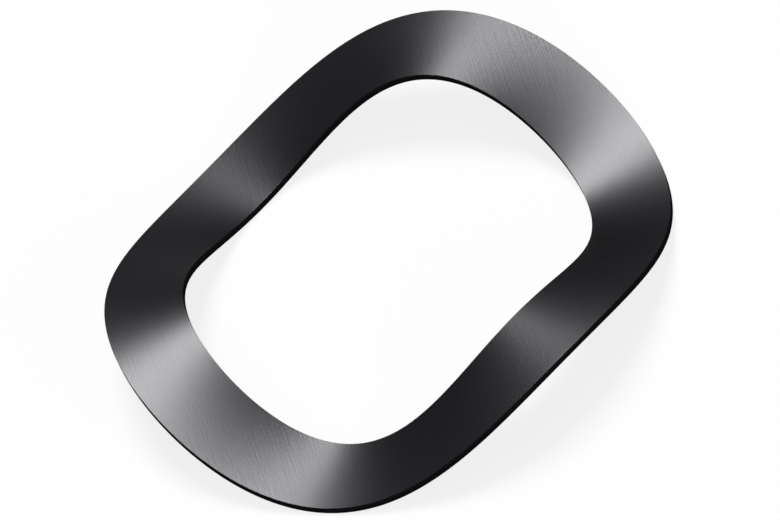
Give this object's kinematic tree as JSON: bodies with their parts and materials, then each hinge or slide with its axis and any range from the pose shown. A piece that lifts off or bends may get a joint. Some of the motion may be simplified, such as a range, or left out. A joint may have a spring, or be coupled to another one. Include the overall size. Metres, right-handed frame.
{
  "type": "wave washer",
  "caption": "Thin round spring washer pressed into even waves around its ring, to take up end play and keep a light axial preload under a bolt head or against a bearing.",
  "frame": {"origin": "on the washer's axis, in the plane that the troughs' undersides stand on", "axes": "+Z along the washer's axis, from the troughs up to the crests; one crest lies on +Y"},
  "size_m": [0.0294, 0.0295, 0.0044],
  "materials": {
    "spring_steel": "blackened satin spring steel"
  },
  "bodies": {
    "root": {"washer": "spring_steel"}
  },
  "joints": []
}
